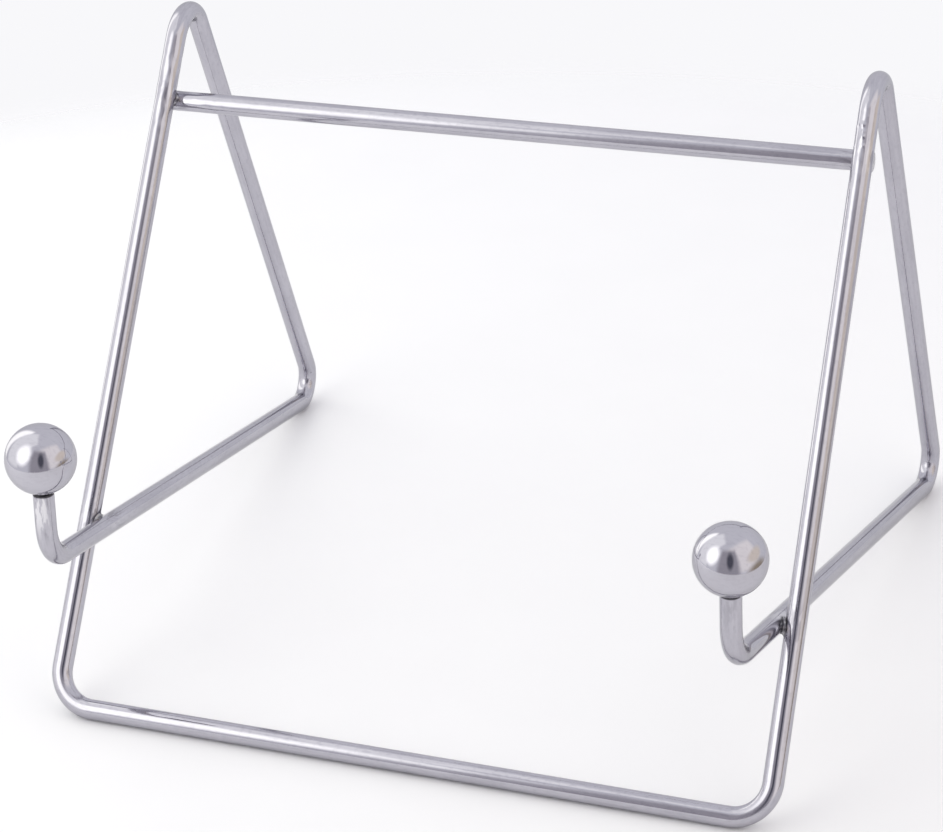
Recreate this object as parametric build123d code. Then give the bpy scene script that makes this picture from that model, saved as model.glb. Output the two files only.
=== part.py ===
"""Photo album stand: a chrome-plated easel bent from one round rod.

The rod starts at a ball-tipped hook on one side, runs back along a sloping rail to the floor,
climbs the back leg, turns over the apex, comes down the front leg, crosses the front as the
bottom bar and mirrors the same run on the other side. A second rod ties the two front legs
together near the top. The album rests on the two rails and leans on the front legs, and the
hooks with their balls keep it from sliding off. The right hook and the cross rod are set a
little off the mirror image, as the rod is bent and brazed by hand.

Axes: +X to the right, +Y to the back, +Z up. The origin is on the floor, midway between the
two sides and midway between the front of the balls and the back of the rear bends.
"""
import os
from math import radians, sin, sqrt, tan

from build123d import *

# driving dimensions, in millimetres and degrees
ROD_D = 6.0            # the round rod
BALL_D = 20.0          # the ball on each hook
FOOT_WIDTH = 212.0     # between the leg axes at the bottom bar
APEX_WIDTH = 208.0     # between the leg axes at the apex: the legs lean in a little
REAR_WIDTH = 217.0     # between the two rear bends: the back legs splay out
LEG_RUN = 118.0        # how far the apex corner stands behind the bottom bar
LEG_RISE = 180.5       # how far the apex corner stands above the bottom bar's axis
BACK_LEG_TILT = 28.7   # back leg, from the vertical
RAIL_SLOPE = 14.5      # rail, from the floor, rising to the front
HOOK_REACH = 14.0      # how far the ball stands in front of the bottom bar's axis
BALL_HEIGHT = 91.5     # ball centre above the floor
APEX_BEND = 10.0       # bend radii, on the rod's axis
FOOT_BEND = 11.0
REAR_BEND = 7.5
HOOK_BEND_LEFT = 14.0
HOOK_BEND_RIGHT = 17.5
HOOK_SLIP_RIGHT = 3.0  # the right hook is bent this much nearer its leg, and its stem leans forward

# cross rod: where its axis meets each leg, as a share of the leg from bottom to apex corner
CROSS_LEFT = 0.84
CROSS_RIGHT = 0.86
CROSS_OVERHANG = 2.0   # past each leg's axis
CROSS_EDGE = 0.4       # broken edge on the cut ends

# joints
CONTACT_GAP = 0.06     # between rods that meet at a braze
SPIGOT_D = 4.0         # turned end of the rod inside the ball
SPIGOT_LENGTH = 9.0
SPIGOT_EDGE = 0.5
BORE_D = 4.1
BORE_DEPTH = 10.0
DRILL_ANGLE = 118.0
BRAZE_FILLET = 0.6     # hollow radius of the braze where two rods cross
BRAZE_SPREAD = 3.0     # how far it spreads from the point where they meet
BRAZE_FILM = 0.07      # thickness of its edge on the rods

ROD_R = ROD_D / 2
BALL_R = BALL_D / 2


def bend_centre(before, corner, after, radius):
    """Centre of the tangent arc that rounds a corner, and the tangent length along each side."""
    one = (before - corner).normalized()
    two = (after - corner).normalized()
    half = radians(one.get_angle(two) / 2)
    middle = (one + two).normalized()
    return corner + middle * (radius / sin(half)), radius / tan(half)


def foot_corner(side):
    return Vector(side * FOOT_WIDTH / 2, 0, ROD_R)


def apex_corner(side):
    return Vector(side * APEX_WIDTH / 2, LEG_RUN, ROD_R + LEG_RISE)


def bend_low_point(before, corner, after, radius):
    """Height of the lowest point of a bend, on the rod's axis."""
    centre, tangent = bend_centre(before, corner, after, radius)
    normal = (before - corner).cross(after - corner).normalized()
    return centre.Z - radius * sqrt(1 - normal.Z ** 2)


def hook_corner(side, rear, half_width):
    """Corner of a hook that stands straight below its ball."""
    run = rear.Y + HOOK_REACH
    return Vector(side * half_width, -HOOK_REACH, rear.Z + run * tan(radians(RAIL_SLOPE)))


def rear_corner(side, hook_half_width):
    """Corner of the rear bend, set so that the bend just rests on the floor."""
    apex = apex_corner(side)
    height = 0.0
    for step in range(8):
        back = apex.Y + (apex.Z - height) * tan(radians(BACK_LEG_TILT))
        rear = Vector(side * REAR_WIDTH / 2, back, height)
        hook = hook_corner(side, rear, hook_half_width)
        height += ROD_R - bend_low_point(apex, rear, hook, REAR_BEND)
    return rear


def rail_to_leg(half_width):
    """Distance between the right rail's axis and the right front leg's axis."""
    foot = foot_corner(1)
    rear = rear_corner(1, half_width)
    rail = hook_corner(1, rear, half_width) - rear
    leg = apex_corner(1) - foot
    return abs((rear - foot).dot(leg.cross(rail).normalized()))


def hook_half_width():
    """Half the width between the hooks that lays each rail against the inside of its leg."""
    low = FOOT_WIDTH / 2 - 3 * ROD_D
    high = FOOT_WIDTH / 2 - ROD_D
    for step in range(40):
        middle = (low + high) / 2
        if rail_to_leg(middle) > ROD_D + CONTACT_GAP:
            low = middle
        else:
            high = middle
    return (low + high) / 2


HOOK_HALF = hook_half_width()
FOOT = {side: foot_corner(side) for side in (-1, 1)}
APEX = {side: apex_corner(side) for side in (-1, 1)}
REAR = {side: rear_corner(side, HOOK_HALF) for side in (-1, 1)}
HOOK = {side: hook_corner(side, REAR[side], HOOK_HALF) for side in (-1, 1)}
BALL = {side: Vector(HOOK[side].X, HOOK[side].Y, BALL_HEIGHT) for side in (-1, 1)}
HOOK[1] += (REAR[1] - HOOK[1]).normalized() * HOOK_SLIP_RIGHT
STEM = {side: (BALL[side] - HOOK[side]).normalized() for side in (-1, 1)}
STEM_END = {side: BALL[side] - STEM[side] * BALL_R for side in (-1, 1)}


def depth_middle():
    """Middle of the stand's depth, from the ball fronts to the back of the rear bends."""
    centre, tangent = bend_centre(APEX[1], REAR[1], HOOK[1], REAR_BEND)
    normal = (APEX[1] - REAR[1]).cross(HOOK[1] - REAR[1]).normalized()
    back = centre.Y + REAR_BEND * sqrt(1 - normal.Y ** 2) + ROD_R
    front = BALL[1].Y - BALL_R
    return (front + back) / 2


def rod_path(corners, radii):
    """Straight runs joined by tangent arcs."""
    edges = []
    start = corners[0]
    for before, corner, after, radius in zip(corners, corners[1:], corners[2:], radii):
        centre, tangent = bend_centre(before, corner, after, radius)
        enter = corner + (before - corner).normalized() * tangent
        leave = corner + (after - corner).normalized() * tangent
        middle = centre + (corner - centre).normalized() * radius
        edges.append(Edge.make_line(start, enter))
        edges.append(Edge.make_three_point_arc(enter, middle, leave))
        start = leave
    edges.append(Edge.make_line(start, corners[-1]))
    return Wire(edges)


def spigot(side):
    """Turned end of the rod that goes up into the ball."""
    pin = Cylinder(SPIGOT_D / 2, SPIGOT_LENGTH + 1, align=(Align.CENTER, Align.CENTER, Align.MIN))
    pin = chamfer(pin.edges().sort_by(Axis.Z)[-1], SPIGOT_EDGE)
    return Plane(STEM_END[side] - STEM[side], x_dir=(1, 0, 0), z_dir=STEM[side]) * pin


def frame_rod():
    """The one long rod: hook, rail, back leg and front leg on each side, and the bottom bar."""
    left = [STEM_END[-1], HOOK[-1], REAR[-1], APEX[-1], FOOT[-1]]
    right = [FOOT[1], APEX[1], REAR[1], HOOK[1], STEM_END[1]]
    side_bends = [REAR_BEND, APEX_BEND, FOOT_BEND]
    bends = [HOOK_BEND_LEFT] + side_bends + side_bends[::-1] + [HOOK_BEND_RIGHT]
    path = rod_path(left + right, bends)
    section = Plane(STEM_END[-1], z_dir=-STEM[-1]) * Circle(ROD_R)
    return sweep(section, path=path) + spigot(-1) + spigot(1)


def cross_ends():
    """Points on the two leg axes behind which the cross rod lies."""
    left = FOOT[-1] + (APEX[-1] - FOOT[-1]) * CROSS_LEFT
    right = FOOT[1] + (APEX[1] - FOOT[1]) * CROSS_RIGHT
    return left, right


def cross_offset(side):
    """Step from a leg's axis to the cross rod's axis, square to both."""
    left, right = cross_ends()
    back = (right - left).cross(APEX[side] - FOOT[side]).normalized()
    return back * (-1 if back.Y < 0 else 1) * (ROD_D + CONTACT_GAP)


def cross_rod():
    """Straight rod brazed across the back of the two front legs."""
    left, right = cross_ends()
    start = left + cross_offset(-1)
    end = right + cross_offset(1)
    along = (end - start).normalized()
    length = (end - start).length + 2 * CROSS_OVERHANG
    rod = Cylinder(ROD_R, length, align=(Align.CENTER, Align.CENTER, Align.MIN))
    rod = chamfer(rod.edges().filter_by(GeomType.CIRCLE), CROSS_EDGE)
    return Plane(start - along * CROSS_OVERHANG, z_dir=along) * rod


def ball(side):
    """Ball with a blind drilled hole for the spigot."""
    sphere = Sphere(BALL_R)
    hole = Cylinder(BORE_D / 2, BORE_DEPTH + 1, align=(Align.CENTER, Align.CENTER, Align.MIN))
    tip = BORE_D / 2 / tan(radians(DRILL_ANGLE / 2))
    point = Cone(BORE_D / 2, 0.01, tip, align=(Align.CENTER, Align.CENTER, Align.MIN))
    bore = Pos(0, 0, -BALL_R - 1) * hole + Pos(0, 0, BORE_DEPTH - BALL_R) * point
    return Plane(BALL[side], x_dir=(1, 0, 0), z_dir=STEM[side]) * (sphere - bore)


def rod_piece(middle, along, radius):
    """Short length of rod about a point."""
    plane = Plane(middle - along * 2 * ROD_D, z_dir=along)
    align = (Align.CENTER, Align.CENTER, Align.MIN)
    return plane * Cylinder(radius, 4 * ROD_D, align=align)


def braze(first, first_along, second, second_along):
    """Bead of braze that fills the corner all round where two rods touch."""
    one = rod_piece(first, first_along, ROD_R + BRAZE_FILM)
    two = rod_piece(second, second_along, ROD_R + BRAZE_FILM)
    joined = one + two
    ends = [edge.center() for edge in one.edges() + two.edges()]
    seam = [e for e in joined.edges() if min((e.center() - end).length for end in ends) > 0.5]
    filled = fillet(seam, BRAZE_FILLET)
    near = Pos((first + second) / 2) * Sphere(BRAZE_SPREAD)
    bead = (filled & near) - rod_piece(first, first_along, ROD_R)
    return bead - rod_piece(second, second_along, ROD_R)


def nearest_points(start, along, other, other_along):
    """Where two straight rod axes pass closest to each other."""
    across = along.cross(other_along)
    gap = other - start
    one = gap.cross(other_along).dot(across) / across.dot(across)
    two = gap.cross(along).dot(across) / across.dot(across)
    return start + along * one, other + other_along * two


def rail_braze(side):
    """Bead where the rail passes the inside of its front leg."""
    leg = (APEX[side] - FOOT[side]).normalized()
    rail = (HOOK[side] - REAR[side]).normalized()
    on_leg, on_rail = nearest_points(FOOT[side], leg, REAR[side], rail)
    return braze(on_leg, leg, on_rail, rail)


def cross_braze(side):
    """Bead where the cross rod lies against the back of a front leg."""
    left, right = cross_ends()
    rod = (right + cross_offset(1) - left - cross_offset(-1)).normalized()
    leg = (APEX[side] - FOOT[side]).normalized()
    on_leg = left if side < 0 else right
    return braze(on_leg, leg, on_leg + cross_offset(side), rod)


def build():
    """Every piece in its place, by name."""
    pieces = {
        "frame_rod": frame_rod(),
        "cross_rod": cross_rod(),
        "left_ball": ball(-1),
        "right_ball": ball(1),
        "left_rail_braze": rail_braze(-1),
        "right_rail_braze": rail_braze(1),
        "left_cross_braze": cross_braze(-1),
        "right_cross_braze": cross_braze(1),
    }
    place = Pos(0, -depth_middle(), 0)
    return {name: place * piece for name, piece in pieces.items()}


os.makedirs("parts", exist_ok=True)
for name, piece in build().items():
    export_step(piece.solid(), "parts/" + name + ".step")
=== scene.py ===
"""Photo album stand: the look of the chrome rod, balls and braze, in a pale studio.

Every piece is rebuilt as a smooth mesh on the CAD model's own geometry, so that the mirror
finish reflects cleanly. Lengths are in metres, in the CAD frame: +X right, +Y back, +Z up.
"""
from math import asin, atan2, cos, degrees, pi, radians, sin, sqrt, tan

import bpy
from mathutils import Matrix, Vector, noise


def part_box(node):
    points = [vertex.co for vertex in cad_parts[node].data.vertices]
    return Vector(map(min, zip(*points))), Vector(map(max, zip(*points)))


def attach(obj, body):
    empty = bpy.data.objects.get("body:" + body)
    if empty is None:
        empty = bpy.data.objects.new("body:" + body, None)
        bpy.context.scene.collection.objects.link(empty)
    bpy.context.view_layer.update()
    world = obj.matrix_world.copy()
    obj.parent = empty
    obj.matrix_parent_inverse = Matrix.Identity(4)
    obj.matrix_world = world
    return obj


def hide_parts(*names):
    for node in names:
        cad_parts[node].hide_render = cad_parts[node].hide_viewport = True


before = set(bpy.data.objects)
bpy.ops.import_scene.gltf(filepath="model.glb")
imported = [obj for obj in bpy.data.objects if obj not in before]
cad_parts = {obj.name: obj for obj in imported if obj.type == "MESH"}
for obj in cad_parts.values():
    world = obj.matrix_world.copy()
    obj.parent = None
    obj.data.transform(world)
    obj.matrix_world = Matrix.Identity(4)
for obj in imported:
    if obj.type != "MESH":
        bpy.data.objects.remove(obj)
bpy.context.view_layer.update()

# --- the stand's driving dimensions, as in the CAD source --------------------------------------
MM = 0.001
ROD_R = 3.0 * MM
BALL_R = 10.0 * MM
FOOT_WIDTH = 212.0 * MM
APEX_WIDTH = 208.0 * MM
REAR_WIDTH = 217.0 * MM
LEG_RUN = 118.0 * MM
LEG_RISE = 180.5 * MM
BACK_LEG_TILT = 28.7
RAIL_SLOPE = 14.5
HOOK_REACH = 14.0 * MM
APEX_BEND = 10.0 * MM
FOOT_BEND = 11.0 * MM
REAR_BEND = 7.5 * MM
HOOK_BEND = {-1: 14.0 * MM, 1: 17.5 * MM}
HOOK_SLIP = {-1: 0.0, 1: 3.0 * MM}
CROSS_SHARE = {-1: 0.84, 1: 0.86}
CROSS_OVERHANG = 2.0 * MM
CROSS_EDGE = 0.4 * MM
CONTACT_GAP = 0.06 * MM
SPIGOT_R = 2.0 * MM
SPIGOT_LENGTH = 9.0 * MM
SPIGOT_EDGE = 0.5 * MM
BORE_R = 2.05 * MM
BORE_DEPTH = 10.0 * MM
BORE_TIP = 1.23 * MM
BRAZE_FILLET = 0.6 * MM

SIDES = (-1, 1)
SIDE_NAME = {-1: "left", 1: "right"}

# --- mesh --------------------------------------------------------------------------------------
ROUND = 64                   # points round a rod
BALL_ROUND = 96
BALL_ROWS = 64
BEAD_ROUND = 72
BEAD_ARC = 10                # steps across a bead's fillet
STRAIGHT_STEP = 1.5 * MM
FINE_PARTS = 4               # how much shorter the steps are near the cross rod's joints
BEND_STEP = radians(3)
SHARP_ANGLE = radians(35)
END_ROUNDING = 0.3 * MM
ROUNDING_ANGLES = (15, 30, 45, 60, 75, 90)
BORE_CHAMFER = 0.15 * MM
BALL_INSET = 0.002 * MM      # keeps the ball's mesh inside the CAD's box

# --- unevenness of the real thing, and painted shade in its crevices ---------------------------
OVAL = 0.02                  # how much a bend flattens the rod
WANDER = 0.010 * MM          # unevenness of drawn rod
WANDER_LENGTH = 14 * MM
RIPPLE = 0.10 * MM           # unevenness left by polishing near a braze or bend
RIPPLE_LENGTH = 4 * MM
RIPPLE_SHARE = {-1: 1.0, 1: 0.35}
BEND_RIPPLE = 0.15           # how much of it a bend has
HEAT_START = 9 * MM          # how far from a joint the ripple is at its full height
HEAT_REACH = 26 * MM         # and where it ends
BELOW_JOINT = 1.5            # how much faster it ends below the joint
SPATTER = 0.20 * MM          # beads of spattered braze above the cross rod, under the plate
SPATTER_SIZE = 1.6 * MM
SPATTER_SHARE = {-1: 0.25, 1: 1.0}
SPATTER_RISE = (0 * MM, 3 * MM)
SPATTER_FALL = (7 * MM, 15 * MM)
SPATTER_SIDE = Vector((-0.55, -0.75, 0.37))
SPATTER_FACING = (0.55, 0.95)
SPATTER_NOISE = (0.05, 0.6)
BEAD_LEAN = 0.22             # how much a bead's fillet swells on one side
BEAD_LUMPS = 0.08
BEAD_BUMP = 0.04 * MM
BEAD_BUMP_SCALE = 900        # per metre
BEAD_BURIED = 0.1            # how deep its hidden faces lie, as a share of the rod's radius
BEAD_SHADE = 0.3              # how much painted shade a bead has at its edge, and how much more at its middle
RAIL_BEAD_SIDE = Vector((0, -0.5, -1))
TIE_BEAD_LIFT = 0.4
WORN_REACH = 9 * MM          # how far from a joint the plate is patchy
# painted shade darkens the rods within this reach of a joint
CREVICE_REACH = (2.2 * MM, 3.2 * MM)
# painted shade on a ball's underside round its stem, fading out across this radius
BORE_SHADE = (3.9 * MM, 5.0 * MM)
COLLAR = 1.1 * MM            # band at the top of a stem, painted dark as shade under its ball
STEM_WEAR = {-1: 1.0, 1: 0.2}
STEM_WEAR_REACH = (6 * MM, 17 * MM)
SCUFF_SIDE = Vector((-0.12, -0.99, 0))
SCUFF_FACING = (0.35, 0.9)

# --- chrome plate ------------------------------------------------------------------------------
PLATE = (0.52, 0.51, 0.56, 1)
PLATE_HAZE = (0.47, 0.46, 0.51, 1)
ROD_HAZE = (0.45, 0.44, 0.49, 1)
BEAD_PLATE = (0.47, 0.46, 0.51, 1)
BEAD_HAZE = (0.35, 0.34, 0.37, 1)
EDGE_TINT = (0.75, 0.75, 0.75, 1)
CREVICE_SHADE = (0.035, 0.032, 0.037, 1)      # painted shade in crevices, at joints, at the stem tops, under the balls and on the beads
# how far the colour goes towards that painted shade
CREVICE_SHADE_SHARE = 0.95
STREAK = (0.20, 0.19, 0.22, 1)       # thin, patchy plate
GLEAM = (0.74, 0.73, 0.76, 1)        # thick plate between the streaks
PIT = (0.10, 0.095, 0.10, 1)
PIT_SHARE = 0.004                    # share of the cells that are pits on unworn plate
PIT_EDGE = (0.04, 0.14)
# noises, as waves per metre along and across the rod
CLOUD_WAVES = (60, 180, 180)
DRAWN_WAVES = (25, 2600, 2600)
PEEL_WAVES = (240, 420, 420)
PIT_WAVES = (420, 420, 420)
STREAK_WAVES = (130, 650, 650)
GRAIN_WAVES = (500, 1300, 1300)
MARK_WAVES = (35, 1100, 1100)
# the part of a noise that shows, and for the haze the least and most that it adds
STREAK_EDGE = (0.53, 0.60)
GLEAM_EDGE = (0.40, 0.47)
MARK_EDGE = (0.42, 0.66)
CLOUD_HAZE = (0.30, 0.75, 0.0, 0.5)
GRAIN_HAZE = (0.45, 0.75, 0.0, 0.6)
CLOUD_ROUGH = (0.35, 0.75)
# what the roughness gains
CLOUD_DULLS = 0.05
WEAR_DULLS = 0.05
BEND_DULLS = 0.11
PIT_DULLS = 0.35
CREVICE_DULLS = 0.3
# heights in the bump, as shares of BUMP_HEIGHT
BUMP_HEIGHT = 0.1 * MM
DRAWN_HEIGHT = 0.02
PIT_DEPTH = 0.5

# --- camera, solved from the outline in the photograph -----------------------------------------
CAMERA_AZIMUTH = 18.74
CAMERA_ELEVATION = 26.88
CAMERA_ROLL = -0.99
CAMERA_DISTANCE = 0.9394
CAMERA_TARGET = Vector((5.9, -45.3, 88.5)) * MM
CAMERA_LENS = 127.2
SENSOR_WIDTH = 36.0

# --- studio ------------------------------------------------------------------------------------
# What hangs in the photo tent, painted from far to near: degrees to the right of the camera,
# elevation, half width, half height and softness of the edge (all degrees), whether it is round,
# and its glow. These values are not made by hand from scratch. Another program fitted the tent to
# the photographed rods and balls, and its result was cut down to eight panels in round
# numbers. TENT_WALL (the glow of the tent itself), TENT_R, FLOOR_R and FLOOR_TONE come from the
# same fit. See the known fault in report.md.
TENT = {
    "back strip": (-130, 20, 10, 35, 5, False, (2.0, 2.0, 1.9)),
    "left panel": (-90, 35, 25, 45, 5, False, (1.25, 1.25, 1.25)),
    "key lamp": (-60, 25, 20, 25, 8, True, (2.2, 2.2, 2.1)),
    "right panel": (40, 25, 40, 35, 8, False, (1.2, 1.15, 1.12)),
    # the open front with the unlit room beyond it, and one plain dark zone round the camera
    "open front": (-5, -10, 30, 60, 8, False, (0.48, 0.46, 0.5)),
    "dark zone": (0, 20, 9, 22, 4, True, (0.12, 0.12, 0.15)),
    # warm coloured wall and its shaded foot on the right
    "warm wall": (75, 15, 25, 12, 5, True, (1.0, 0.9, 0.78)),
    "warm shade": (75, -15, 25, 15, 8, True, (0.45, 0.38, 0.3)),
}
TENT_WALL = (0.88, 0.88, 0.92, 1)
TENT_CENTRE = Vector((0.0, -0.05, 0.09))
TENT_R = 0.82
TENT_ROUND = 96
TENT_ROWS = 48
GRAZING = 0.05               # a panel shows only on its own half of the tent
FLOOR_R = 0.44
FLOOR_FADE = 0.08
FLOOR_ROUND = 128
FLOOR_TONE = (0.93, 0.93, 0.94, 1)
FLOOR_MOTTLE = (0.96, 0.96, 0.97, 1)
MOTTLE_WAVES = 30.0
BACKDROP = (0.940, 0.938, 0.960, 1)


# --- the rod's route, worked out as the CAD source does ----------------------------------------
def ball_centre(side):
    low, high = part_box(SIDE_NAME[side] + "_ball")
    middle = (low + high) / 2
    return Vector((middle.x, middle.y, high.z - BALL_R))


BALL = {side: ball_centre(side) for side in SIDES}
BAR_Y = BALL[1].y + HOOK_REACH


def bend_centre(before, corner, after, radius):
    """Centre of the tangent arc that rounds a corner, and the tangent length along each side."""
    one = (before - corner).normalized()
    two = (after - corner).normalized()
    half = one.angle(two) / 2
    middle = (one + two).normalized()
    return corner + middle * (radius / sin(half)), radius / tan(half)


def foot_corner(side):
    return Vector((side * FOOT_WIDTH / 2, BAR_Y, ROD_R))


def apex_corner(side):
    return Vector((side * APEX_WIDTH / 2, BAR_Y + LEG_RUN, ROD_R + LEG_RISE))


def hook_corner(side, rear):
    run = rear.y - BALL[side].y
    return Vector((BALL[side].x, BALL[side].y, rear.z + run * tan(radians(RAIL_SLOPE))))


def rear_corner(side):
    """Corner of the rear bend, set so that the bend just rests on the floor."""
    apex = apex_corner(side)
    height = 0.0
    for step in range(8):
        back = apex.y + (apex.z - height) * tan(radians(BACK_LEG_TILT))
        rear = Vector((side * REAR_WIDTH / 2, back, height))
        hook = hook_corner(side, rear)
        centre, tangent = bend_centre(apex, rear, hook, REAR_BEND)
        normal = (apex - rear).cross(hook - rear).normalized()
        height += ROD_R - (centre.z - REAR_BEND * sqrt(1 - normal.z ** 2))
    return rear


FOOT = {side: foot_corner(side) for side in SIDES}
APEX = {side: apex_corner(side) for side in SIDES}
REAR = {side: rear_corner(side) for side in SIDES}
HOOK = {side: hook_corner(side, REAR[side]) for side in SIDES}
for side in SIDES:
    HOOK[side] += (REAR[side] - HOOK[side]).normalized() * HOOK_SLIP[side]
STEM = {side: (BALL[side] - HOOK[side]).normalized() for side in SIDES}
STEM_END = {side: BALL[side] - STEM[side] * BALL_R for side in SIDES}
LEG = {side: (APEX[side] - FOOT[side]).normalized() for side in SIDES}
RAIL = {side: (HOOK[side] - REAR[side]).normalized() for side in SIDES}
LEG_POINT = {side: FOOT[side].lerp(APEX[side], CROSS_SHARE[side]) for side in SIDES}


def cross_offset(side):
    """Step from a leg's axis to the cross rod's axis, square to both."""
    back = (LEG_POINT[1] - LEG_POINT[-1]).cross(LEG[side]).normalized()
    return back * (-1 if back.y < 0 else 1) * (2 * ROD_R + CONTACT_GAP)


CROSS_POINT = {side: LEG_POINT[side] + cross_offset(side) for side in SIDES}
CROSS = (CROSS_POINT[1] - CROSS_POINT[-1]).normalized()


def nearest_points(start, along, other, other_along):
    """Where two straight rod axes pass closest to each other."""
    across = along.cross(other_along)
    gap = other - start
    one = gap.cross(other_along).dot(across) / across.dot(across)
    two = gap.cross(along).dot(across) / across.dot(across)
    return start + along * one, other + other_along * two


RAIL_MEETING = {side: nearest_points(FOOT[side], LEG[side], REAR[side], RAIL[side]) for side in SIDES}
TIE_MEETINGS = [(LEG_POINT[side] + CROSS_POINT[side]) / 2 for side in SIDES]
MEETINGS = [(a + b) / 2 for a, b in RAIL_MEETING.values()] + TIE_MEETINGS


# --- mesh building -----------------------------------------------------------------------------
def route_points(corners, radii):
    """Points along straight runs and tangent arcs: (point, share of a bend, direction of its inside)."""
    stations = []
    start = corners[0]
    for before, corner, after, radius in zip(corners, corners[1:], corners[2:], radii):
        centre, tangent = bend_centre(before, corner, after, radius)
        enter = corner + (before - corner).normalized() * tangent
        leave = corner + (after - corner).normalized() * tangent
        stations += straight_points(start, enter)
        first, last = enter - centre, leave - centre
        turn = first.angle(last)
        count = max(4, round(turn / BEND_STEP))
        for i in range(count):
            share = i / count
            spoke = (first * sin((1 - share) * turn) + last * sin(share * turn)) / sin(turn)
            stations.append((centre + spoke, sin(pi * share), -spoke.normalized()))
        start = leave
    return stations + straight_points(start, corners[-1]) + [(corners[-1].copy(), 0.0, None)]


def straight_points(start, end):
    """Even steps, with finer ones where the joints of the cross rod left the surface uneven."""
    count = max(1, round((end - start).length / STRAIGHT_STEP))
    points = []
    for i in range(count):
        point = start.lerp(end, i / count)
        near = min((point - m).length for m in TIE_MEETINGS) < HEAT_REACH
        parts = FINE_PARTS if near else 1
        points += [(start.lerp(end, (i + k / parts) / count), 0.0, None) for k in range(parts)]
    return points


def smooth_step(value, low, high):
    t = min(max((value - low) / (high - low), 0.0), 1.0)
    return t * t * (3 - 2 * t)


def unevenness(point, spoke, bend):
    """Height of the plated surface above a true rod."""
    away = min((point - m).length + BELOW_JOINT * max(m.z - point.z - ROD_R, 0) for m in TIE_MEETINGS)
    near = (1 - smooth_step(away, HEAT_START, HEAT_REACH)) * RIPPLE_SHARE[1 if point.x > 0 else -1]
    shift = spoke * 2 * ROD_R
    slow = noise.noise((point + shift) / WANDER_LENGTH) * WANDER
    quick = (noise.noise((point + shift) / RIPPLE_LENGTH) - 0.5) * RIPPLE * max(near, BEND_RIPPLE * bend)
    return slow + quick - WANDER + spatter(point, spoke)


def spatter(point, spoke):
    """Small rounded bumps on the front of a leg, from its cross rod joint to the apex."""
    height = 0.0
    for side in SIDES:
        along = (point - LEG_POINT[side]).dot(LEG[side])
        off_axis = (point - LEG_POINT[side] - LEG[side] * along).length
        if off_axis > 0.1 * MM:
            continue
        zone = smooth_step(along, *SPATTER_RISE) * (1 - smooth_step(along, *SPATTER_FALL))
        zone *= smooth_step(spoke.dot(SPATTER_SIDE), *SPATTER_FACING) * SPATTER_SHARE[side]
        bump = smooth_step(noise.noise((point + spoke * ROD_R) / SPATTER_SIZE), *SPATTER_NOISE)
        height = max(height, bump * zone * SPATTER)
    return height


def stem_wear(point, spoke):
    """How patchy the plating is on the front of a stem, most just below its ball."""
    worn = 0.0
    for side in SIDES:
        below = (point - STEM_END[side]).length
        facing = smooth_step(spoke.dot(SCUFF_SIDE), *SCUFF_FACING)
        worn = max(worn, STEM_WEAR[side] * facing * (1 - smooth_step(below, *STEM_WEAR_REACH)))
    return worn


def skin(name, stations, profile_start, profile_end):
    """A closed tube through the stations, with turned ends. A profile is a list of (step, radius,
    painted shade) outward from the end of the route. Each point also keeps its place on the straightened
    rod, how far it is bent, how near it is to a braze, and how much painted shade it gets in a crevice."""
    points = [s[0] for s in stations]
    tangents = []
    for i in range(len(points)):
        before, after = points[max(i - 1, 0)], points[min(i + 1, len(points) - 1)]
        tangents.append((after - before).normalized())
    rings = []
    side = tangents[0].orthogonal().normalized()
    for step, radius, shade_depth in reversed(profile_start):
        rings.append((points[0] - tangents[0] * step, tangents[0], radius, 0.0, None, shade_depth))
    for point, tangent, (_, bend, inside) in zip(points, tangents, stations):
        rings.append((point, tangent, ROD_R, bend, inside, 0.0))
    for step, radius, shade_depth in profile_end:
        rings.append((points[-1] + tangents[-1] * step, tangents[-1], radius, 0.0, None, shade_depth))
    verts, unrolled, bent, near, crevice = [], [], [], [], []
    travelled = 0.0
    last = rings[0][0]
    for centre, tangent, radius, bend, inside, shade_depth in rings:
        travelled += (centre - last).length
        last = centre
        side = (side - tangent * side.dot(tangent)).normalized()
        up = tangent.cross(side)
        for k in range(ROUND):
            angle = 2 * pi * k / ROUND
            spoke = side * cos(angle) + up * sin(angle)
            if inside is not None:
                spoke = spoke - inside * (spoke.dot(inside) * OVAL * bend)
            rise = unevenness(centre, spoke, bend) if radius == ROD_R else 0.0
            verts.append(centre + spoke * (radius + rise))
            unrolled.append((travelled, radius * cos(angle), radius * sin(angle)))
            bent.append(bend)
            away = min((verts[-1] - m).length for m in MEETINGS)
            near.append(max(0.0, 1 - away / WORN_REACH, stem_wear(verts[-1], spoke)))
            # painted shade: from the profile at a stem's end, and near a joint
            crevice.append(max(shade_depth, 1 - smooth_step(away, *CREVICE_REACH)))
    faces = []
    for r in range(len(rings) - 1):
        a, b = r * ROUND, (r + 1) * ROUND
        for k in range(ROUND):
            k1 = (k + 1) % ROUND
            faces.append((a + k, a + k1, b + k1, b + k))
    faces.append(tuple(reversed(range(ROUND))))
    faces.append(tuple(range(len(verts) - ROUND, len(verts))))
    return make_piece(name, verts, faces, unrolled, bent, near, crevice)


def make_piece(name, verts, faces, unrolled, bent, near, crevice):
    mesh = bpy.data.meshes.new(name)
    mesh.from_pydata(verts, [], faces)
    mesh.shade_smooth()
    mesh.set_sharp_from_angle(angle=SHARP_ANGLE)
    spread = mesh.attributes.new("unrolled", "FLOAT_VECTOR", "POINT")
    spread.data.foreach_set("vector", [x for row in unrolled for x in row])
    for label, values in (("bent", bent), ("near_braze", near), ("crevice", crevice)):
        mesh.attributes.new(label, "FLOAT", "POINT").data.foreach_set("value", values)
    mesh.validate()
    piece = bpy.data.objects.new(name, mesh)
    bpy.context.scene.collection.objects.link(piece)
    return piece


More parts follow.
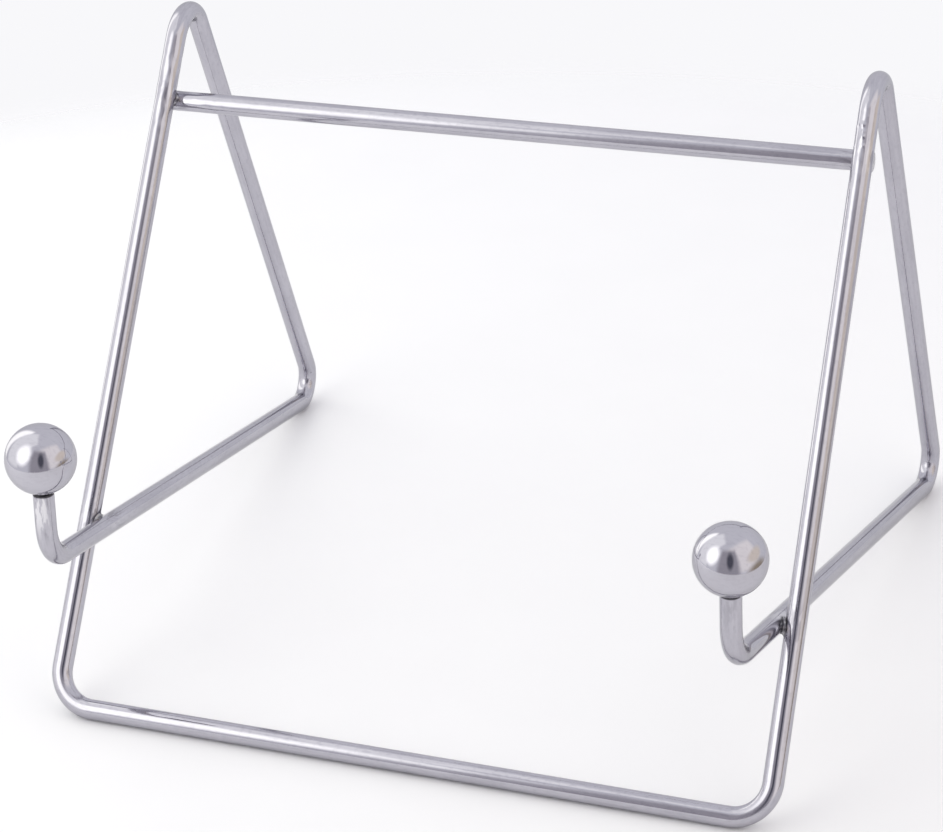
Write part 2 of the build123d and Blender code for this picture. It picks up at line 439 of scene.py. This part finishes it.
def turned_end():
    """Flat stem end with a small rounding, then the spigot that goes up into the ball. The third value
    of each step is painted shade: full on the end and the spigot, fading out down the stem.
    """
    edge = END_ROUNDING
    rounding = [(-0.90 * MM, ROD_R, 0.1), (-0.62 * MM, ROD_R, 0.95), (-edge, ROD_R, 1.0)]
    for angle in ROUNDING_ANGLES:
        out, down = edge * cos(radians(angle)), edge * sin(radians(angle))
        rounding.append((down - edge, ROD_R - edge + out, 1.0))
    tip = SPIGOT_LENGTH
    spigot = [(0.0, SPIGOT_R, 1.0), (tip - SPIGOT_EDGE, SPIGOT_R, 1.0)]
    return rounding + spigot + [(tip, SPIGOT_R - SPIGOT_EDGE, 1.0)]


def make_bent_rod():
    left = [STEM_END[-1], HOOK[-1], REAR[-1], APEX[-1], FOOT[-1]]
    right = [FOOT[1], APEX[1], REAR[1], HOOK[1], STEM_END[1]]
    side_bends = [REAR_BEND, APEX_BEND, FOOT_BEND]
    bends = [HOOK_BEND[-1]] + side_bends + side_bends[::-1] + [HOOK_BEND[1]]
    stations = route_points(left + right, bends)
    stations[0] = (stations[0][0] - STEM[-1] * COLLAR, 0.0, None)
    stations[-1] = (stations[-1][0] - STEM[1] * COLLAR, 0.0, None)
    end = [(step + COLLAR, radius, shade_depth) for step, radius, shade_depth in turned_end()]
    return skin("bent_rod", stations, end, end)


def make_tie_rod():
    start = CROSS_POINT[-1] - CROSS * (CROSS_OVERHANG - CROSS_EDGE)
    end = CROSS_POINT[1] + CROSS * (CROSS_OVERHANG - CROSS_EDGE)
    stations = straight_points(start, end) + [(end, 0.0, None)]
    cut = []
    for angle in ROUNDING_ANGLES:
        out, along = cos(radians(angle)), sin(radians(angle))
        cut.append((CROSS_EDGE * along, ROD_R - CROSS_EDGE * (1 - out), 0.0))
    return skin("tie_rod", stations, cut, cut)


def make_ball(side):
    """Ball turned about its stem's axis, with the blind hole for the spigot."""
    lean = Vector((0, 0, 1)).rotation_difference(STEM[side])

    def place(radius, angle, height):
        return BALL[side] + lean @ Vector((radius * cos(angle), radius * sin(angle), height))

    mouth = asin((BORE_R + BORE_CHAMFER) / BALL_R)
    profile = [(0.0, BORE_DEPTH + BORE_TIP - BALL_R), (BORE_R, BORE_DEPTH - BALL_R)]
    profile += [(BORE_R, -BALL_R * cos(mouth) + BORE_CHAMFER)]
    skin_r = BALL_R - BALL_INSET
    for i in range(BALL_ROWS):
        polar = mouth + (pi - mouth) * i / BALL_ROWS
        profile.append((skin_r * sin(polar), -skin_r * cos(polar)))
    verts, faces, unrolled, crevice = [], [], [], []
    for radius, height in profile[1:]:
        for k in range(BALL_ROUND):
            angle = 2 * pi * k / BALL_ROUND
            verts.append(place(radius, angle, height))
            unrolled.append(tuple(verts[-1] - BALL[side]))
            # painted shade on the lower half of the ball, round the bore
            crevice.append(1 - smooth_step(radius, *BORE_SHADE) if height < 0 else 0.0)
    rows = len(profile) - 1
    for r in range(rows - 1):
        for k in range(BALL_ROUND):
            k1 = (k + 1) % BALL_ROUND
            a, b = r * BALL_ROUND, (r + 1) * BALL_ROUND
            faces.append((a + k, a + k1, b + k1, b + k))
    bottom, top = len(verts), len(verts) + 1
    verts += [place(0, 0, profile[0][1]), place(0, 0, skin_r)]
    unrolled += [(0, 0, profile[0][1]), (0, 0, skin_r)]
    for k in range(BALL_ROUND):
        k1 = (k + 1) % BALL_ROUND
        faces.append((bottom, k1, k))
        faces.append((top, (rows - 1) * BALL_ROUND + k, (rows - 1) * BALL_ROUND + k1))
    crevice += [1.0, 0.0]
    flat = [0.0] * len(verts)
    return make_piece("ball_" + SIDE_NAME[side], verts, faces, unrolled, flat, flat, crevice)


def make_braze(name, first, first_along, second, second_along, lean, seed):
    """Bead left by a ball of the fillet's radius rolled all round the corner between two crossing
    rods, closed by two cones buried just inside them. The radius swells towards lean, and the
    surface is a little uneven."""
    up = (second - first).normalized()
    half_gap = (second - first).length / 2
    middle = (first + second) / 2
    east = first_along
    north = up.cross(east)
    lean_angle = atan2(lean.dot(north), lean.dot(east))
    verts, faces, crevice = [], [], []
    for k in range(BEAD_ROUND):
        angle = 2 * pi * k / BEAD_ROUND
        spoke = east * cos(angle) + north * sin(angle)
        swell = 1 + BEAD_LEAN * cos(angle - lean_angle) + BEAD_LUMPS * sin(3 * angle + seed)
        fillet = BRAZE_FILLET * swell
        sine_a = spoke.cross(first_along).length
        sine_b = spoke.cross(second_along).length
        low, high = 0.0, 4 * ROD_R
        for step in range(40):           # halve the range until the ball just touches both rods
            out = (low + high) / 2
            rise = out ** 2 * (sine_b ** 2 - sine_a ** 2) / (4 * half_gap)
            reach = sqrt((out * sine_a) ** 2 + (rise + half_gap) ** 2)
            if reach < ROD_R + fillet:
                low = out
            else:
                high = out
        centre = middle + spoke * out + up * rise
        ring = []
        for axis_point, axis in ((first, first_along), (second, second_along)):
            foot = axis_point + axis * (centre - axis_point).dot(axis)
            ring.append((foot, foot + (centre - foot).normalized() * ROD_R))
        (foot_a, touch_a), (foot_b, touch_b) = ring
        one, two = touch_a - centre, touch_b - centre
        turn = one.angle(two)
        verts.append(touch_a.lerp(foot_a, BEAD_BURIED))
        # painted shade, darkest in the middle of the fillet
        fillet_shade = [BEAD_SHADE + BEAD_SHADE * sin(pi * i / BEAD_ARC) for i in range(BEAD_ARC + 1)]
        crevice += [BEAD_SHADE] + fillet_shade + [BEAD_SHADE]
        for i in range(BEAD_ARC + 1):
            share = i / BEAD_ARC
            across = (one * sin((1 - share) * turn) + two * sin(share * turn)) / sin(turn)
            place = (centre + across) * BEAD_BUMP_SCALE + Vector((seed, 0, 0))
            bump = noise.noise(place) * BEAD_BUMP
            verts.append(centre + across * (1 - bump * sin(pi * share) / fillet))
        verts.append(touch_b.lerp(foot_b, BEAD_BURIED))
    strip = BEAD_ARC + 3
    bottom, top = len(verts), len(verts) + 1
    depth = 1 - BEAD_BURIED
    verts += [first + up * depth * ROD_R, second - up * depth * ROD_R]
    crevice += [BEAD_SHADE, BEAD_SHADE]
    for k in range(BEAD_ROUND):
        a, b = k * strip, ((k + 1) % BEAD_ROUND) * strip
        for i in range(strip - 1):
            faces.append((a + i, b + i, b + i + 1, a + i + 1))
        faces.append((bottom, b, a))
        faces.append((top, a + strip - 1, b + strip - 1))
    unrolled = [tuple(v - middle) for v in verts]
    bent, near = [0.0] * len(verts), [1.0] * len(verts)
    return make_piece(name, verts, faces, unrolled, bent, near, crevice)


# --- materials ---------------------------------------------------------------------------------
def node(tree, kind, inputs=None, **settings):
    """A shader node with its settings and inputs. An input is a value or another node's socket."""
    made = tree.nodes.new(kind)
    for key, value in settings.items():
        setattr(made, key, value)
    for key, value in (inputs or {}).items():
        if isinstance(value, bpy.types.NodeSocket):
            tree.links.new(value, made.inputs[key])
        else:
            made.inputs[key].default_value = value
    return made


def maths(tree, operation, one, two=0.5, clamp=False):
    made = node(tree, "ShaderNodeMath", {0: one, 1: two}, operation=operation, use_clamp=clamp)
    return made.outputs[0]


def stretch(tree, vector, scale):
    return node(tree, "ShaderNodeVectorMath", {0: vector, 1: scale}, operation="MULTIPLY").outputs[0]


def remap(tree, value, low, high, to_low, to_high):
    inputs = {"Value": value, "From Min": low, "From Max": high, "To Min": to_low, "To Max": to_high}
    return node(tree, "ShaderNodeMapRange", inputs, interpolation_type="SMOOTHSTEP").outputs["Result"]


def mixed(tree, factor, one, two, **settings):
    inputs = {"Factor": factor, "A": one, "B": two}
    return node(tree, "ShaderNodeMix", inputs, data_type="RGBA", **settings).outputs["Result"]


def attribute(tree, name, output="Fac"):
    return node(tree, "ShaderNodeAttribute", attribute_name=name).outputs[output]


def waves(tree, place, scale, detail):
    """Noise stretched along the rod."""
    inputs = {"Vector": stretch(tree, place, scale), "Scale": 1.0, "Detail": detail}
    return node(tree, "ShaderNodeTexNoise", inputs).outputs["Fac"]


def pitting(tree, place, worn, pits):
    """1 in the middle of a pit. There are more of them where the plate is worn."""
    inputs = {"Vector": stretch(tree, place, PIT_WAVES), "Scale": 1.0, "Randomness": 1.0}
    cells = node(tree, "ShaderNodeTexVoronoi", inputs)
    chosen = node(tree, "ShaderNodeSeparateColor", {"Color": cells.outputs["Color"]}).outputs[0]
    inputs = {0: worn, 1: pits, 2: PIT_SHARE}
    share = node(tree, "ShaderNodeMath", inputs, operation="MULTIPLY_ADD").outputs[0]
    picked = maths(tree, "LESS_THAN", chosen, share)
    dot = remap(tree, cells.outputs["Distance"], *PIT_EDGE, 1.0, 0.0)
    return maths(tree, "MULTIPLY", picked, dot)


def chrome(name, base, haze, roughness, ripple, pits, drawn):
    """Chrome plate: mirror metal with faint drawing lines, a slight ripple, thin haze and a few pits,
    and painted shade where the crevice attribute is high.
    """
    material = bpy.data.materials.new(name)
    material.use_nodes = True
    tree = material.node_tree
    shader = tree.nodes["Principled BSDF"]
    shader.inputs["Metallic"].default_value = 1.0
    shader.inputs["Specular Tint"].default_value = EDGE_TINT
    place = attribute(tree, "unrolled", "Vector")
    bent = attribute(tree, "bent")
    near = attribute(tree, "near_braze")
    crevice = attribute(tree, "crevice")
    cloud = waves(tree, place, CLOUD_WAVES, 5.0)
    pit = pitting(tree, place, maths(tree, "MAXIMUM", bent, near), pits)

    streaks = waves(tree, place, STREAK_WAVES, 3.0)
    streak = maths(tree, "MULTIPLY", remap(tree, streaks, *STREAK_EDGE, 0.0, 1.0), near)
    gleam = maths(tree, "MULTIPLY", remap(tree, streaks, *GLEAM_EDGE, 1.0, 0.0), near)
    grain = waves(tree, place, GRAIN_WAVES, 2.0)
    marks = waves(tree, place, MARK_WAVES, 2.0)
    cloudy = remap(tree, cloud, *CLOUD_HAZE)
    tone = maths(tree, "ADD", cloudy, remap(tree, grain, *GRAIN_HAZE), clamp=True)
    tone = maths(tree, "ADD", tone, remap(tree, marks, *MARK_EDGE, 0.0, drawn), clamp=True)
    colour = mixed(tree, tone, base, haze)
    # painted shade: the crevice attribute darkens the colour in gaps and at joints
    painted_shade = maths(tree, "MULTIPLY", crevice, CREVICE_SHADE_SHARE)
    for mask, paint in ((pit, PIT), (streak, STREAK), (gleam, GLEAM), (painted_shade, CREVICE_SHADE)):
        colour = mixed(tree, mask, colour, paint)
    tree.links.new(colour, shader.inputs["Base Color"])

    rough = remap(tree, cloud, *CLOUD_ROUGH, roughness, roughness + CLOUD_DULLS)
    gains = ((near, WEAR_DULLS), (bent, BEND_DULLS), (pit, PIT_DULLS), (crevice, CREVICE_DULLS))
    for mask, gain in gains:
        rough = maths(tree, "ADD", rough, maths(tree, "MULTIPLY", mask, gain))
    tree.links.new(rough, shader.inputs["Roughness"])

    lines = waves(tree, place, DRAWN_WAVES, 3.0)
    peel = waves(tree, place, PEEL_WAVES, 2.0)
    height = maths(tree, "MULTIPLY", lines, DRAWN_HEIGHT)
    height = maths(tree, "ADD", height, maths(tree, "MULTIPLY", peel, ripple))
    height = maths(tree, "SUBTRACT", height, maths(tree, "MULTIPLY", pit, PIT_DEPTH))
    bump = node(tree, "ShaderNodeBump", {"Strength": 1.0, "Distance": BUMP_HEIGHT, "Height": height})
    tree.links.new(bump.outputs["Normal"], shader.inputs["Normal"])
    return material


def dress(piece, material, slot, *replaced):
    piece.data.materials.append(material)
    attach(piece, "root")
    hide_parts(*replaced)


# --- building the studio -----------------------------------------------------------------------
def compass(azimuth, elevation):
    """Direction with azimuth 0 to the front, 90 to the right, and elevation above the horizon."""
    a, e = radians(azimuth), radians(elevation)
    return Vector((sin(a) * cos(e), -cos(a) * cos(e), sin(e)))


def panel_mask(tree, direction, azimuth, elevation, half_width, half_height, soft, is_round):
    """1 inside a soft-edged panel of the tent wall, 0 outside."""
    def dot(axis):
        inputs = {0: direction, 1: axis}
        return node(tree, "ShaderNodeVectorMath", inputs, operation="DOT_PRODUCT").outputs["Value"]

    def angle(axis):
        turn = maths(tree, "ARCTAN2", dot(axis), depth)
        return maths(tree, "ABSOLUTE", maths(tree, "MULTIPLY", turn, degrees(1)))

    depth = dot(compass(azimuth, elevation))
    across = angle(compass(azimuth + 90, 0))
    along = angle(compass(azimuth, elevation + 90))
    if is_round:
        x = maths(tree, "DIVIDE", across, half_width)
        y = maths(tree, "DIVIDE", along, half_height)
        squares = maths(tree, "ADD", maths(tree, "MULTIPLY", x, x), maths(tree, "MULTIPLY", y, y))
        reach = maths(tree, "SUBTRACT", maths(tree, "SQRT", squares), 1.0)
        past = maths(tree, "MULTIPLY", reach, min(half_width, half_height))
    else:
        past_side = maths(tree, "SUBTRACT", across, half_width)
        past = maths(tree, "MAXIMUM", past_side, maths(tree, "SUBTRACT", along, half_height))
    inside = remap(tree, past, -soft, soft, 1.0, 0.0)
    in_front = maths(tree, "GREATER_THAN", depth, GRAZING)
    return maths(tree, "MULTIPLY", inside, in_front)


def new_material(name, shader_type):
    material = bpy.data.materials.new(name)
    material.use_nodes = True
    tree = material.node_tree
    tree.nodes.clear()
    shader = node(tree, shader_type)
    out = node(tree, "ShaderNodeOutputMaterial")
    tree.links.new(shader.outputs[0], out.inputs["Surface"])
    return material, tree, shader


def stage_mesh(name, verts, faces, material):
    mesh = bpy.data.meshes.new(name)
    mesh.from_pydata(verts, [], faces)
    mesh.shade_smooth()
    mesh.materials.append(material)
    piece = bpy.data.objects.new(name, mesh)
    bpy.context.scene.collection.objects.link(piece)
    return piece


def build_tent():
    """Glowing round photo tent: the only light. The camera looks in through its wall."""
    material, tree, shader = new_material("tent_glow", "ShaderNodeEmission")
    place = node(tree, "ShaderNodeTexCoord").outputs["Object"]
    normalize = node(tree, "ShaderNodeVectorMath", {0: place}, operation="NORMALIZE")
    direction = normalize.outputs["Vector"]
    colour = TENT_WALL
    for name, (rightwards, elevation, width, tall, soft, is_round, glow) in TENT.items():
        azimuth = CAMERA_AZIMUTH + rightwards
        mask = panel_mask(tree, direction, azimuth, elevation, width, tall, soft, is_round)
        colour = mixed(tree, mask, colour, (*glow, 1), label=name)
    tree.links.new(colour, shader.inputs["Color"])
    material.cycles.emission_sampling = "NONE"
    around, rows = TENT_ROUND, TENT_ROWS
    verts = []
    for r in range(rows + 1):
        polar = pi * (r + 0.5) / (rows + 1)
        for k in range(around):
            angle = 2 * pi * k / around
            spoke = Vector((sin(polar) * cos(angle), sin(polar) * sin(angle), cos(polar)))
            verts.append(spoke * TENT_R)
    faces = [tuple(range(around)), tuple(reversed(range(rows * around, (rows + 1) * around)))]
    for r in range(rows):
        for k in range(around):
            k1 = (k + 1) % around
            a, b = r * around, (r + 1) * around
            faces.append((a + k, b + k, b + k1, a + k1))
    tent = stage_mesh("tent", verts, faces, material)
    tent.location = TENT_CENTRE
    tent.visible_camera = False


def build_floor():
    """Pale table top with a barely visible mottle, fading out at its edge."""
    material, tree, shader = new_material("pale_table", "ShaderNodeMixShader")
    place = node(tree, "ShaderNodeTexCoord").outputs["Object"]
    inputs = {"Vector": place, "Scale": MOTTLE_WAVES, "Detail": 6.0}
    mottle = node(tree, "ShaderNodeTexNoise", inputs).outputs["Fac"]
    tint = mixed(tree, mottle, FLOOR_TONE, FLOOR_MOTTLE)
    matt = node(tree, "ShaderNodeBsdfDiffuse", {"Color": tint})
    reach = node(tree, "ShaderNodeVectorMath", {0: place}, operation="LENGTH").outputs["Value"]
    gone = remap(tree, reach, FLOOR_R - FLOOR_FADE / 2, FLOOR_R + FLOOR_FADE / 2, 0.0, 1.0)
    clear = node(tree, "ShaderNodeBsdfTransparent")
    tree.links.new(gone, shader.inputs[0])
    tree.links.new(matt.outputs[0], shader.inputs[1])
    tree.links.new(clear.outputs[0], shader.inputs[2])
    edge = FLOOR_R + FLOOR_FADE
    angles = [2 * pi * k / FLOOR_ROUND for k in range(FLOOR_ROUND)]
    verts = [Vector((edge * cos(angle), edge * sin(angle), 0)) for angle in angles]
    stage_mesh("table_top", verts, [tuple(range(FLOOR_ROUND))], material)


def build_backdrop():
    """Plain pale colour beyond the table."""
    world = bpy.data.worlds.new("backdrop")
    bpy.context.scene.world = world
    world.use_nodes = True
    world.node_tree.nodes["Background"].inputs["Color"].default_value = BACKDROP


def build_camera():
    back = compass(CAMERA_AZIMUTH, CAMERA_ELEVATION)
    right = compass(CAMERA_AZIMUTH + 90, 0)
    up = back.cross(right)
    turn = Matrix((right, up, back)).transposed() @ Matrix.Rotation(radians(CAMERA_ROLL), 3, "Z")
    data = bpy.data.cameras.new("camera")
    data.lens = CAMERA_LENS
    data.sensor_width = SENSOR_WIDTH
    data.clip_start = 0.01
    camera = bpy.data.objects.new("camera", data)
    camera.matrix_world = Matrix.Translation(CAMERA_TARGET + back * CAMERA_DISTANCE) @ turn.to_4x4()
    bpy.context.scene.collection.objects.link(camera)
    bpy.context.scene.camera = camera


# --- assembly ----------------------------------------------------------------------------------
# roughness, ripple, share of pits where worn, and drawn marks
rod_chrome = chrome("rod_chrome_plate", PLATE, ROD_HAZE, 0.055, 0.04, 0.06, 0.45)
ball_chrome = chrome("ball_chrome_plate", PLATE, PLATE_HAZE, 0.035, 0.02, 0.0, 0.0)
braze_chrome = chrome("braze_chrome_plate", BEAD_PLATE, BEAD_HAZE, 0.10, 0.25, 0.03, 0.0)

dress(make_bent_rod(), rod_chrome, "rod_chrome", "frame_rod")
dress(make_tie_rod(), rod_chrome, "rod_chrome", "cross_rod")
for side in SIDES:
    name = SIDE_NAME[side]
    dress(make_ball(side), ball_chrome, "ball_chrome", name + "_ball")
    on_leg, on_rail = RAIL_MEETING[side]
    lean = RAIL_BEAD_SIDE * side
    bead = make_braze("rail_bead_" + name, on_leg, LEG[side], on_rail, RAIL[side], lean, side)
    dress(bead, braze_chrome, "braze_chrome", name + "_rail_braze")
    lean = Vector((-side, 0, TIE_BEAD_LIFT))
    on_leg, on_tie, seed = LEG_POINT[side], CROSS_POINT[side], side + 5
    bead = make_braze("tie_bead_" + name, on_leg, LEG[side], on_tie, CROSS, lean, seed)
    dress(bead, braze_chrome, "braze_chrome", name + "_cross_braze")

build_floor()
build_tent()
build_backdrop()
build_camera()
bpy.context.scene.view_settings.view_transform = "Standard"
